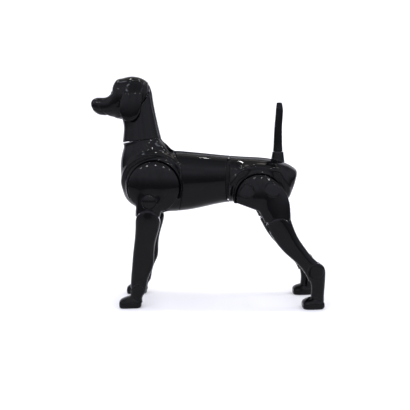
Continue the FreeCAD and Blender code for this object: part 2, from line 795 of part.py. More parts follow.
def make_foreleg():
    leg = limb_loft(FORELEG)
    elbow = size("elbow_radius")
    wrist = size("wrist_radius")
    link_plane = size("elbow_link_plane")
    pin_plane = size("long_pin_plane")
    leg_plane = size("foreleg_plane")
    link = link_plate("elbow_link", ELBOW, LINK_TOP, link_plane)

    # upper arm: the disc and the stub above the elbow
    stub = leg.common(half_space((ELBOW[0], ELBOW[1] + 12), 0))
    stub = stub.cut(slab(-400, 400, y_low=-size("boss_reach") - GAP, y_high=100))
    arm = disc_dome(SHOULDER, size("shoulder_disc_radius")).fuse(stub)
    arm = arm.cut(pivot_cylinder(ELBOW, elbow + GAP, 0, 100))
    arm = arm.cut(stud_hole(SHOULDER)).cut(link)
    plug_seat = side(LINK_TOP, link_plane + size("link_thickness") / 2 + size("plug_gap"))
    arm = arm.cut(Part.makeCylinder(size("plug_radius") + size("plug_gap"), 20, plug_seat, DOWN_Y))
    keep_pair("upper_arm", arm)
    outline = [("Sizes.plug_radius", "0"), ("Sizes.plug_radius", "Sizes.plug_thickness")]
    plug = revolved_body("shoulder_plug_left", outline, plug_seat, DOWN_Y)
    mirror_node(plug, "shoulder_plug_right")
    pivot_stud("shoulder_pivot", SHOULDER)

    # forearm: the elbow's knuckle, a hollow shaft, and the tongue of the wrist
    above_elbow = half_space(ELBOW, 0).cut(pivot_cylinder(ELBOW, elbow, 0, 100))
    forearm = leg.cut(above_elbow)
    above_wrist = half_space(WRIST, -30)
    tongue = tongue_shape(WRIST, (-138, 62), size("tongue_thickness"), 7, leg_plane)
    forearm = forearm.common(above_wrist).cut(pivot_cylinder(WRIST, wrist + GAP, 0, 100))
    room = limb_loft(FORELEG, WALL).common(slab(-300, 0, z_low=66, z_high=ELBOW[1] - elbow - 3))
    forearm = forearm.cut(room).fuse(tongue)
    forearm = forearm.cut(link_slot(ELBOW, size("link_thickness"), 16, 31, 149, link_plane))
    forearm = forearm.cut(cross_pin("elbow_pin", ELBOW, "pin_radius", "long_pin_length", pin_plane))
    forearm = forearm.cut(running_bore(WRIST, leg_plane))
    keep_limb_halves("forearm", forearm, leg_plane)

    # paw: the wrist's knuckle, relieved in front and behind so that it can swing, the pastern and the foot
    knuckle = leg.cut(above_wrist.cut(pivot_cylinder(WRIST, wrist, 0, 100)))
    relief = sector(WRIST, 40, 148, 192, 0, 100).fuse(sector(WRIST, 40, -48, -28, 0, 100))
    knuckle = knuckle.cut(relief.cut(pivot_cylinder(WRIST, wrist, 0, 100)))
    foot = limb_loft(PAW).fuse(knuckle).cut(slab(-400, 400, z_high=0))
    foot = foot.cut(toe_grooves(-179, leg_plane, 17))
    foot = foot.cut(link_slot(WRIST, size("tongue_thickness"), 10, 22, 170, leg_plane))
    foot = foot.cut(cross_pin("wrist_pin", WRIST, "small_pin_radius", "short_pin_length", leg_plane))
    keep_pair("front_paw", foot)


def running_bore(centre, plane):
    radius = size("small_pin_radius") + size("pivot_clearance")
    return pivot_cylinder(centre, radius, plane - 20, plane + 20)


def tongue_shape(pivot, root, thickness, radius, plane):
    """A tongue with a round end at the pivot, rooted in the piece above."""
    along = side(root) - side(pivot)
    across = V(-along.z, 0, along.x)
    across.normalize()
    start = side(pivot, plane - thickness / 2)
    corners = [start - across * radius, start + across * radius]
    corners += [corners[1] + along, corners[0] + along]
    arm = Part.Face(Part.makePolygon(corners + corners[:1])).extrude(DOWN_Y * thickness)
    return arm.fuse(pivot_cylinder(pivot, radius, plane - thickness / 2, plane + thickness / 2))


def toe_grooves(toe_x, plane, height):
    """Three grooves that part the toes."""
    grooves = []
    for place in (-8, 0, 8):
        start = V(toe_x, -plane + place, height - 13)
        grooves.append(Part.makeCylinder(1.3, 26, start, V(0.74, -0.1 * place / 8, 0.67)))
    return grooves


# ---------------------------------------------------------------- hind legs

THIGH = [
    ((66, 219), (132, 262), 56.5, 7.5),
    ((81, 214.5), (154, 241), 56.5, 8.5),
    ((95.5, 208), (163, 222), 56.5, 10),
    ((106.5, 193), (166.5, 202), 56, 12.4),
    ((115, 178), (168, 184), 54.5, 15.2),
    ((119, 160), (169, 164), 53.5, 16.4),
    ((122, 140), (168, 142), 53, 16),
]
SHANK = [
    ((108, 184), (149, 211), 53.5, 16),
    ((127, 155), (170, 177), 53.5, 16.4),
    ((140, 134.5), (180, 153), 53.3, 15.4),
    ((166, 107), (198.5, 125), 53, 13.2),
    ((190, 85), (217.5, 102.5), 53, 12.2),
    ((203.5, 66), (232, 90), 53, 12),
    ((211, 48), (243, 74), 53, 12),
]
METATARSUS = [
    ((203, 98), (241, 98), 53, 11.5),
    ((203, 80), (241, 80), 53, 12),
    ((208, 64), (241.5, 66), 53, 12),
    ((212.5, 50), (241, 50), 53, 11.5),
    ((213.5, 28), (240, 27), 53, 11.3),
    ((214, 8), (240, 8), 53, 12),
]
HIND_FOOT = [
    ((196.5, 3), (196, 11), 53, 8),
    ((199.5, -3), (199, 17), 53, 13.5),
    ((206, -4), (206, 20.5), 53, 16.5),
    ((215, -4), (215, 23), 53, 17),
    ((225, -4), (225, 22), 53, 15.5),
    ((234, -3), (234, 18), 53, 13),
    ((240.5, 2), (240.5, 13), 53, 8),
]


def make_hind_leg():
    knee = size("knee_radius")
    hock = size("hock_radius")
    link_plane = size("knee_link_plane")
    pin_plane = size("long_pin_plane")
    leg_plane = size("hindleg_plane")
    thigh_loft = limb_loft(THIGH)
    link = link_plate("knee_link", KNEE, (124, 197), link_plane)

    # thigh: the hip's disc and the limb above the knee
    stop_angle = size("knee_stop_angle")
    above_stop = half_space((KNEE[0], KNEE[1] + GAP / math.cos(math.radians(stop_angle))), stop_angle)
    upper = thigh_loft.common(half_space((KNEE[0], KNEE[1] + 20), 8))
    upper = upper.fuse(thigh_loft.common(above_stop).common(slab(KNEE[0], 400)))
    upper = upper.cut(flank_room())
    disc = disc_dome(HIP, size("hip_disc_radius"))
    disc = disc.cut(half_space((62, 214), 160))
    thigh = disc.fuse(upper).cut(pivot_cylinder(KNEE, knee + GAP, 0, 100))
    thigh = thigh.cut(stud_hole(HIP)).cut(link)
    keep_limb_halves("thigh", thigh, link_plane)
    pivot_stud("hip_pivot", HIP)

    # shank: the knee's knuckle, a hollow shaft, and the tongue of the hock
    shank_loft = limb_loft(SHANK)
    shank = shank_loft.cut(half_space(KNEE, stop_angle).cut(pivot_cylinder(KNEE, knee, 0, 100)))
    above_hock = half_space(HOCK, 58)
    room = limb_loft(SHANK[1:-1], WALL)
    room = room.cut(pivot_cylinder(KNEE, knee + 3, 0, 100)).cut(pivot_cylinder(HOCK, hock + 14, 0, 100))
    shank = shank.common(above_hock).cut(pivot_cylinder(HOCK, hock + GAP, 0, 100)).cut(room)
    shank = shank.fuse(tongue_shape(HOCK, (202, 99), size("tongue_thickness"), 7, leg_plane))
    shank = shank.cut(link_slot(KNEE, size("link_thickness"), 16, 80, 182, link_plane))
    shank = shank.cut(cross_pin("knee_pin", KNEE, "pin_radius", "long_pin_length", pin_plane))
    shank = shank.cut(running_bore(HOCK, leg_plane))
    keep_limb_halves("shank", shank, leg_plane)

    # foot: the hock's knuckle, the metatarsus and the paw
    metatarsus = limb_loft(METATARSUS)
    metatarsus = metatarsus.cut(above_hock.cut(pivot_cylinder(HOCK, hock, 0, 100)))
    top = half_space((HOCK[0], HOCK[1] + 2), 0).cut(pivot_cylinder(HOCK, hock, 0, 100))
    metatarsus = metatarsus.cut(top)
    foot = limb_loft(HIND_FOOT).fuse(metatarsus).cut(slab(-400, 400, z_high=0))
    foot = foot.cut(toe_grooves(195.5, leg_plane, 17))
    foot = foot.cut(link_slot(HOCK, size("tongue_thickness"), 12, 64, 180, leg_plane))
    foot = foot.cut(cross_pin("hock_pin", HOCK, "small_pin_radius", "short_pin_length", leg_plane))
    keep_pair("hind_foot", foot)


def flank_room():
    """The space that the rump's flank takes, which the thigh stays out of as it swings."""
    return slab(-400, 400, z_low=190, y_low=-size("boss_reach") - GAP, y_high=100)


# ---------------------------------------------------------------- tail

def collar_bore():
    return Part.makeCylinder(size("tail_plug_radius") + 1.5, 60, TAIL_FOOT - UP_Z * 30, UP_Z)


def make_tail():
    """The tail turns in a flared collar that stands on the croup."""
    base = TAIL_FOOT
    trunk = half_loft(CHEST + MIDDLE + RUMP)
    trunk = trunk.fuse(mirrored(trunk))
    flare = Part.makeCone(size("collar_base_radius"), size("collar_top_radius"), size("collar_height"), base)
    spigot = Part.makeCylinder(size("tail_plug_radius") + 1.5, 24, base - UP_Z * 16, UP_Z)
    socket_radius = size("tail_plug_radius") + size("pivot_clearance")
    socket = Part.makeCylinder(socket_radius, 60, base - UP_Z * 30, UP_Z)
    collar = flare.cut(trunk).fuse(spigot)
    keep("tail_collar", collar.cut(socket))

    outline = [
        ("Sizes.tail_plug_radius", "0"),
        ("Sizes.tail_plug_radius", "Sizes.tail_plug_length"),
        ("Sizes.tail_root_radius", "Sizes.tail_plug_length"),
        ("Sizes.tail_root_radius * 0.85", "Sizes.tail_plug_length + Sizes.tail_height * 0.5"),
        ("Sizes.tail_root_radius * 0.80", "Sizes.tail_plug_length + Sizes.tail_height * 0.86"),
        ("Sizes.tail_tip_radius", "Sizes.tail_plug_length + Sizes.tail_height"),
    ]
    foot = base + UP_Z * (size("collar_height") + 0.4 - size("tail_plug_length"))
    revolved_body("tail", outline, foot)


make_trunk()
make_neck()
make_head()
make_foreleg()
make_hind_leg()
make_tail()

doc.recompute()
for item in doc.Objects:
    if "Invalid" in item.State or "Error" in item.State:
        raise RuntimeError(f"{item.Label} failed: {item.State}")
for label, node in nodes.items():
    if node.Shape.isNull() or not node.Shape.isValid():
        raise RuntimeError(f"{label} has no valid shape")

os.makedirs("parts", exist_ok=True)
for label, node in nodes.items():
    node.Shape.exportStep(f"parts/{label}.step")
print(len(nodes), "nodes")
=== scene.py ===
"""A glossy black posable dog mannequin, standing side on in a white studio sweep.

Lengths are in metres. The dog faces -X, its left side faces -Y, and it stands on z = 0.
"""
import json
import math

import bmesh
import bpy
import numpy as np
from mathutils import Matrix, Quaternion, Vector


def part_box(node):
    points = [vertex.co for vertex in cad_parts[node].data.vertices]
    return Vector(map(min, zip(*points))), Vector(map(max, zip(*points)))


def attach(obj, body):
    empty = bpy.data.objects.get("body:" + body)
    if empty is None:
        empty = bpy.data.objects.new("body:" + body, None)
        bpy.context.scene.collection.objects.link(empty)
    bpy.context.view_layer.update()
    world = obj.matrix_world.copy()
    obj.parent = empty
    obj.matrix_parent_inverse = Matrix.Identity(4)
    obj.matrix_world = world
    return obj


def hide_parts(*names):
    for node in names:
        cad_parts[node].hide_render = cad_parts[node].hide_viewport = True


MM = 0.001
SIDES = ("left", "right")
PARTING = 0.02 * MM     # vertices nearer than this to the middle plane lie on it

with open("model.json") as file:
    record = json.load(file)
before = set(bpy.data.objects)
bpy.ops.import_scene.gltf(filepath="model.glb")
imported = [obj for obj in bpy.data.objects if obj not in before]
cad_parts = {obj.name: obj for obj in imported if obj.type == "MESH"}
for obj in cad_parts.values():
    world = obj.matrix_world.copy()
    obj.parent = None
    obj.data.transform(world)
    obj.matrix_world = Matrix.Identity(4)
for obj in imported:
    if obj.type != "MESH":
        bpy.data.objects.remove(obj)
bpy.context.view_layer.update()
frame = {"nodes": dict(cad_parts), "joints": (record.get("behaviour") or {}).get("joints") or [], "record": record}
nodes = frame["nodes"]


# ---------------------------------------------------------------- node helpers

def new_material(name):
    """An empty node material: the tree, its Principled shader and a builder of nodes."""
    material = bpy.data.materials.new(name)
    material.use_nodes = True
    tree = material.node_tree
    shader = next(made for made in tree.nodes if made.type == "BSDF_PRINCIPLED")
    return material, tree, shader


def node(tree, kind, inputs=(), **settings):
    """A node of a kind, with its settings, and its inputs as values or as sockets to join."""
    made = tree.nodes.new(kind)
    for key, value in settings.items():
        setattr(made, key, value)
    for key, value in dict(inputs).items():
        if isinstance(value, bpy.types.NodeSocket):
            tree.links.new(value, made.inputs[key])
        else:
            made.inputs[key].default_value = value
    return made


def noise(tree, place, scale, detail=4.0, roughness=0.6):
    inputs = {"Vector": place, "Scale": scale, "Detail": detail, "Roughness": roughness}
    return node(tree, "ShaderNodeTexNoise", inputs).outputs["Fac"]


def ramp(tree, factor, stops):
    """A grey ramp through (position, brightness) stops."""
    made = node(tree, "ShaderNodeValToRGB", {"Fac": factor})
    elements = made.color_ramp.elements
    for element, (position, level) in zip(elements, (stops[0], stops[-1])):
        element.position = position
        element.color = (level, level, level, 1)
    for position, level in stops[1:-1]:
        elements.new(position).color = (level, level, level, 1)
    return made.outputs["Color"]


def arithmetic(tree, operation, first, second):
    return node(tree, "ShaderNodeMath", {0: first, 1: second}, operation=operation).outputs[0]


def mix_colour(tree, factor, first, second):
    made = tree.nodes.new("ShaderNodeMix")
    made.data_type = "RGBA"
    sockets = {socket.identifier: socket for socket in made.inputs}
    tree.links.new(factor, sockets["Factor_Float"])
    sockets["A_Color"].default_value = first
    sockets["B_Color"].default_value = second
    return next(socket for socket in made.outputs if socket.identifier == "Result_Color")


def stretched(tree, place, stretch, turn=(0.0, 0.0, 0.0)):
    inputs = {"Vector": place, "Scale": stretch, "Rotation": turn}
    return node(tree, "ShaderNodeMapping", inputs).outputs["Vector"]


def bump(tree, height, strength, distance, under=None):
    inputs = {"Height": height, "Strength": strength, "Distance": distance}
    if under is not None:
        inputs["Normal"] = under
    return node(tree, "ShaderNodeBump", inputs).outputs["Normal"]


# ---------------------------------------------------------------- materials

def gloss_plastic(name):
    """Polished black moulded plastic: faint flow in the gloss, hairline scratches, dust and rubbed edges."""
    material, tree, shader = new_material(name)
    place = node(tree, "ShaderNodeTexCoord").outputs["Object"]
    flow = noise(tree, place, 14.0, detail=3.0)
    haze = ramp(tree, flow, [(0.3, 0.0), (0.7, 1.0)])
    hairs = noise(tree, stretched(tree, place, (60, 60, 2600), (0.5, 0.9, 0.3)), 1.0, detail=2.0)
    scratch = ramp(tree, hairs, [(0.66, 0.0), (0.72, 1.0)])
    patches = ramp(tree, noise(tree, place, 9.0), [(0.5, 0.0), (0.65, 1.0)])
    scratch = arithmetic(tree, "MULTIPLY", scratch, patches)
    specks = node(tree, "ShaderNodeTexVoronoi", {"Vector": place, "Scale": 420.0}).outputs["Distance"]
    dust = ramp(tree, specks, [(0.03, 1.0), (0.07, 0.0)])
    edge = node(tree, "ShaderNodeNewGeometry").outputs["Pointiness"]
    rubbed = ramp(tree, edge, [(0.52, 0.0), (0.60, 1.0)])

    rough = node(tree, "ShaderNodeMapRange", {"Value": haze, "To Min": 0.045, "To Max": 0.09}).outputs[0]
    for amount, where in ((0.10, scratch), (0.18, dust), (0.10, rubbed)):
        extra = arithmetic(tree, "MULTIPLY", where, amount)
        rough = arithmetic(tree, "ADD", rough, extra)
    tree.links.new(rough, shader.inputs["Roughness"])

    wear = arithmetic(tree, "MAXIMUM", dust, rubbed)
    wear = arithmetic(tree, "MULTIPLY", wear, 0.35)
    colour = mix_colour(tree, wear, (0.0018, 0.0018, 0.0023, 1), (0.042, 0.042, 0.048, 1))
    tree.links.new(colour, shader.inputs["Base Color"])

    sink = noise(tree, place, 38.0, detail=2.0, roughness=0.4)
    skin = noise(tree, place, 900.0, detail=1.0)
    surface = bump(tree, sink, 0.10, 0.0012)
    surface = bump(tree, skin, 0.05, 0.00003, surface)
    surface = bump(tree, scratch, 0.06, 0.00002, surface)
    tree.links.new(surface, shader.inputs["Normal"])
    shader.inputs["IOR"].default_value = 1.50
    shader.inputs["Specular IOR Level"].default_value = 0.13
    return material


def matte_nylon():
    """Dark moulded nylon of the inner pieces, with a fine spark-eroded grain."""
    material, tree, shader = new_material("inner_nylon")
    place = node(tree, "ShaderNodeTexCoord").outputs["Object"]
    grain = noise(tree, place, 1400.0, detail=2.0)
    cloud = noise(tree, place, 30.0)
    rough = node(tree, "ShaderNodeMapRange", {"Value": cloud, "To Min": 0.42, "To Max": 0.6}).outputs[0]
    tree.links.new(rough, shader.inputs["Roughness"])
    colour = mix_colour(tree, cloud, (0.004, 0.004, 0.005, 1), (0.008, 0.008, 0.009, 1))
    tree.links.new(colour, shader.inputs["Base Color"])
    tree.links.new(bump(tree, grain, 0.25, 0.00006), shader.inputs["Normal"])
    shader.inputs["Specular IOR Level"].default_value = 0.12
    return material


def brushed_steel():
    """Turned steel of the pins and screws: fine rings of tool marks and a little grime."""
    material, tree, shader = new_material("pivot_steel")
    place = node(tree, "ShaderNodeTexCoord").outputs["Object"]
    marks = noise(tree, stretched(tree, place, (5200, 60, 5200)), 1.0, detail=2.0)
    grime = noise(tree, place, 120.0)
    rough = node(tree, "ShaderNodeMapRange", {"Value": marks, "To Min": 0.2, "To Max": 0.42}).outputs[0]
    tree.links.new(rough, shader.inputs["Roughness"])
    colour = mix_colour(tree, grime, (0.42, 0.43, 0.45, 1), (0.62, 0.62, 0.64, 1))
    tree.links.new(colour, shader.inputs["Base Color"])
    tree.links.new(bump(tree, marks, 0.2, 0.00003), shader.inputs["Normal"])
    shader.inputs["Metallic"].default_value = 1.0
    return material


def paper_sweep():
    """White studio paper with the faintest tooth."""
    material, tree, shader = new_material("sweep_paper")
    place = node(tree, "ShaderNodeTexCoord").outputs["Object"]
    tooth = noise(tree, place, 700.0)
    colour = mix_colour(tree, noise(tree, place, 3.0), (0.93, 0.93, 0.93, 1), (0.95, 0.95, 0.95, 1))
    tree.links.new(colour, shader.inputs["Base Color"])
    tree.links.new(bump(tree, tooth, 0.05, 0.0001), shader.inputs["Normal"])
    shader.inputs["Roughness"].default_value = 0.7
    shader.inputs["Specular IOR Level"].default_value = 0.15
    return material


# ---------------------------------------------------------------- mesh helpers

def joined_mesh(name, members, mirrored, add_backing=None):
    """The meshes of CAD nodes as one closed mesh. A mirrored one grows its other half over the middle."""
    build = bmesh.new()
    for member in members:
        build.from_mesh(nodes[member].data)
    bmesh.ops.remove_doubles(build, verts=build.verts, dist=0.002 * MM)
    if mirrored:
        flat = [face for face in build.faces if all(abs(v.co.y) < PARTING for v in face.verts)]
        bmesh.ops.delete(build, geom=flat, context="FACES")
        geometry = build.verts[:] + build.edges[:] + build.faces[:]
        bmesh.ops.mirror(build, geom=geometry, axis="Y", merge_dist=PARTING)
    if add_backing:
        add_backing(build)
    mesh = bpy.data.meshes.new(name)
    build.to_mesh(mesh)
    build.free()
    return mesh


def finer_piece(name, members, voxel, rounds, mirrored=False, add_backing=None):
    """A remeshed copy of CAD nodes, whose creases are blended by some rounds of smoothing."""
    piece = bpy.data.objects.new(name, joined_mesh(name, members, mirrored, add_backing))
    bpy.context.scene.collection.objects.link(piece)
    remesh = piece.modifiers.new("remesh", "REMESH")
    remesh.mode = "VOXEL"
    remesh.voxel_size = voxel
    smooth = piece.modifiers.new("smooth", "SMOOTH")
    smooth.factor = 0.5
    smooth.iterations = rounds
    graph = bpy.context.evaluated_depsgraph_get()
    fine = bpy.data.meshes.new_from_object(piece.evaluated_get(graph))
    piece.modifiers.clear()
    piece.data = fine
    fine.name = name
    for polygon in fine.polygons:
        polygon.use_smooth = True
    return piece


def sculpt(piece, shape):
    """Moves a piece's vertices along their normals by shape(points, normals), in metres."""
    mesh = piece.data
    points = mesh_points(mesh)
    normals = np.empty(len(mesh.vertices) * 3, np.float32)
    mesh.vertices.foreach_get("normal", normals)
    normals = normals.reshape(-1, 3)
    set_points(mesh, points + normals * shape(points, normals)[:, None])


def joint_row(name):
    return next(row for row in frame["joints"] if row["name"] == name)


def mesh_points(mesh):
    points = np.empty(len(mesh.vertices) * 3, np.float32)
    mesh.vertices.foreach_get("co", points)
    return points.reshape(-1, 3).astype(float)


def set_points(mesh, points):
    mesh.vertices.foreach_set("co", points.astype(np.float32).ravel())
    mesh.update()


def smooth_step(value):
    """0 below 0, 1 above 1, and an even blend between."""
    value = np.clip(value, 0, 1)
    return value * value * (3 - 2 * value)


def snap_round(piece, centre, radius, reach, axes=(0, 2), inward_limit=0.0):
    """Draws the vertices near a round face about a centre onto it, if they lie out past a limit in y.

    Two axes make the face a cylinder.
    """
    points = mesh_points(piece.data)
    offset = points[:, axes] - np.array(centre)
    distance = np.linalg.norm(offset, axis=1)
    miss = distance - radius
    beyond = np.abs(points[:, 1]) >= inward_limit
    wanted = radius + miss * np.where(beyond, smooth_step(np.abs(miss) / reach), 1)
    points[:, axes] += offset * ((wanted - distance) / np.maximum(distance, MM))[:, None]
    set_points(piece.data, points)


def relax(piece, share, rounds):
    """Evens out a piece's surface by rounds of averaging, as far as share(points) from 0 to 1 lets it."""
    mesh = piece.data
    points = mesh_points(mesh)
    ends = np.empty(len(mesh.edges) * 2, np.int32)
    mesh.edges.foreach_get("vertices", ends)
    first, second = ends.reshape(-1, 2).T
    weight = share(points)
    active = weight > 0.001
    kept = active[first] | active[second]
    first, second = first[kept], second[kept]
    number = len(points)
    count = np.maximum(np.bincount(first, minlength=number) + np.bincount(second, minlength=number), 1)
    for _ in range(rounds):
        step = np.empty_like(points)
        for axis in range(3):
            column = points[:, axis]
            total = np.bincount(first, column[second], number) + np.bincount(second, column[first], number)
            step[:, axis] = total / count - column
        points += step * (0.5 * weight * active)[:, None]
    set_points(mesh, points)


def ring_share(centre, inner, outer, far):
    """A share that is full between two radii about a pivot in the side view, and ends at a third."""
    def share(points):
        reach = side_distance(points, centre)
        rise = np.clip((reach - inner) / (4 * MM), 0, 1)
        fall = np.clip((far - reach) / (far - outer), 0, 1)
        off_middle = np.clip((np.abs(points[:, 1]) - 4 * MM) / (8 * MM), 0, 1)
        return rise * fall * off_middle
    return share


def away_from(x_low, x_high, width):
    """A share that ends at two planes across the dog."""
    def share(points):
        low = np.clip((points[:, 0] - x_low) / width, 0, 1)
        high = np.clip((x_high - points[:, 0]) / width, 0, 1)
        return low * high
    return share


def bell(distance, width):
    """1 at no distance, falling smoothly to nothing at about twice the width."""
    return np.exp(-(distance / width) ** 2)


def side_distance(points, centre):
    """The distance in the side view of each point from a centre (x, z)."""
    return np.hypot(points[:, 0] - centre[0], points[:, 2] - centre[1])


def line_distance(points, corners):
    """The distance in the side view of each point from a line through some (x, z) corners."""
    best = np.full(len(points), 1e9)
    flat = points[:, (0, 2)]
    for start, stop in zip(corners, corners[1:]):
        start, stop = np.array(start), np.array(stop)
        along = stop - start
        share = np.clip(((flat - start) @ along) / (along @ along), 0, 1)
        best = np.minimum(best, np.linalg.norm(flat - start - share[:, None] * along, axis=1))
    return best


def finish_piece(piece, body, material, slot, *stands_for):
    piece.data.materials.clear()
    piece.data.materials.append(material)
    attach(piece, body)
    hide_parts(*stands_for)


# ---------------------------------------------------------------- head

def head_place(along, up):
    """A point (x, z) of the head in the side view, as shares of its length from the nose and its height."""
    low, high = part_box("head_shell_left")
    return (low.x + (high.x - low.x) * along, low.z + (high.z - low.z) * up)


def head_details(points, normals):
    """Mouth line and lip, nose pad, nostrils, eye hollow, forehead and cheek."""
    across = np.abs(points[:, 1])
    mouth = [
        head_place(along, up) for along, up in ((0.02, 0.245), (0.10, 0.225), (0.27, 0.205), (0.38, 0.215))
    ]
    lip = [head_place(0.09, 0.19), head_place(0.27, 0.165), head_place(0.36, 0.175)]
    depth = -1.0 * MM * bell(line_distance(points, mouth), 0.9 * MM)
    depth += 0.8 * MM * bell(line_distance(points, lip), 1.6 * MM)
    nostril = np.array(head_place(0.012, 0.40))
    reach = np.linalg.norm(points[:, (0, 2)] - nostril, axis=1)
    depth += -1.4 * MM * bell(reach, 1.8 * MM) * bell(across - 4.5 * MM, 2.0 * MM)
    pad = [head_place(0.075, 0.30), head_place(0.075, 0.62)]
    depth += -0.5 * MM * bell(line_distance(points, pad), 1.2 * MM)
    eye = np.array(head_place(0.37, 0.62))
    reach = np.linalg.norm((points[:, (0, 2)] - eye) * (1.0, 1.3), axis=1)
    depth += -1.6 * MM * bell(reach, 6.0 * MM)
    forehead = [head_place(0.38, 0.78), head_place(0.46, 0.90)]
    depth += 1.6 * MM * bell(line_distance(points, forehead), 8.0 * MM)
    cheek = [head_place(0.50, 0.30), head_place(0.54, 0.42)]
    depth += -0.6 * MM * bell(line_distance(points, cheek), 3.0 * MM)
    return depth


def make_head(material):
    head = finer_piece("head_skin", ["head_shell_left"], 0.9 * MM, 3, mirrored=True)
    nod = np.array(joint_row("head_nod")["pos_m"])
    nod_radius = 60 * MM
    cup = 1.6 * MM
    low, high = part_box("head_shell_left")
    points = mesh_points(head.data)
    muzzle = smooth_step((low.x + 0.34 * (high.x - low.x) - points[:, 0]) / (25 * MM))
    points[:, 2] -= 1.3 * MM * muzzle
    set_points(head.data, points)
    sculpt(head, head_details)
    snap_round(head, nod, nod_radius - cup, 3 * MM, (0, 1, 2))
    finish_piece(head, "head", material, "shell_plastic", "head_shell_left", "head_shell_right")
    for side in SIDES:
        ear = finer_piece(f"ear_flap_{side}", [f"ear_{side}"], 0.8 * MM, 4)
        low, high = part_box(f"ear_{side}")
        points = mesh_points(ear.data)
        root = smooth_step((points[:, 2] - (high.z - 30 * MM)) / (26 * MM))
        points[:, 1] *= 1 - 0.26 * root
        set_points(ear.data, points)
        finish_piece(ear, "head", material, "shell_plastic", f"ear_{side}")

        neck = finer_piece(f"neck_skin_{side}", [f"neck_shell_{side}"], 1.0 * MM, 2)
        open_neck_cut(neck)
        snap_round(neck, nod, nod_radius + 0.6 * MM - cup, 2.5 * MM, (0, 1, 2))
        fill_nape(neck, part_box("neck_shell_left")[1].z)
        finish_piece(neck, "neck", material, "shell_plastic", f"neck_shell_{side}")


def fill_nape(neck, top):
    """Thickens the rim of the neck's cup forwards at the nape, until it meets the skull."""
    points = mesh_points(neck.data)
    rim = smooth_step((points[:, 2] - (top - 20 * MM)) / (16 * MM))
    points[:, 0] -= 1.8 * MM * rim
    set_points(neck.data, points)


def from_neck_joint(points):
    """Each point's offset from the neck's joint, and its height along the joint's axis."""
    joint = joint_row("neck_turn")
    offset = points - np.array(joint["pos_m"])
    axis = np.array(joint["axis"])
    return offset, offset @ axis, axis


def lower_neck_cut(piece):
    """Slides the cut between the neck and the chest a little down the neck's axis."""
    points = mesh_points(piece.data)
    _, height, axis = from_neck_joint(points)
    near_cut = smooth_step(1 - np.abs(height) / (22 * MM))
    points -= 3.0 * MM * near_cut[:, None] * axis
    set_points(piece.data, points)


def open_neck_cut(neck):
    """Lifts the neck's foot off the chest in front, where light shows through, and closes the rest."""
    points = mesh_points(neck.data)
    offset, height, _ = from_neck_joint(points)
    lift = 1.7 * MM * smooth_step((-21 * MM - offset[:, 0]) / (4 * MM)) - 0.25 * MM
    points[:, 2] += lift * smooth_step(1 - height / (14 * MM))
    set_points(neck.data, points)
    lower_neck_cut(neck)


# ---------------------------------------------------------------- limbs

def pivot_place(joint):
    """A joint's place (x, z) in the side view."""
    x, _, z = joint_row(joint)["pos_m"]
    return (x, z)


def knuckle_radius(joint, node_name):
    """The radius of a knuckle, whose top is the top of its node."""
    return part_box(node_name)[1].z - pivot_place(joint)[1]


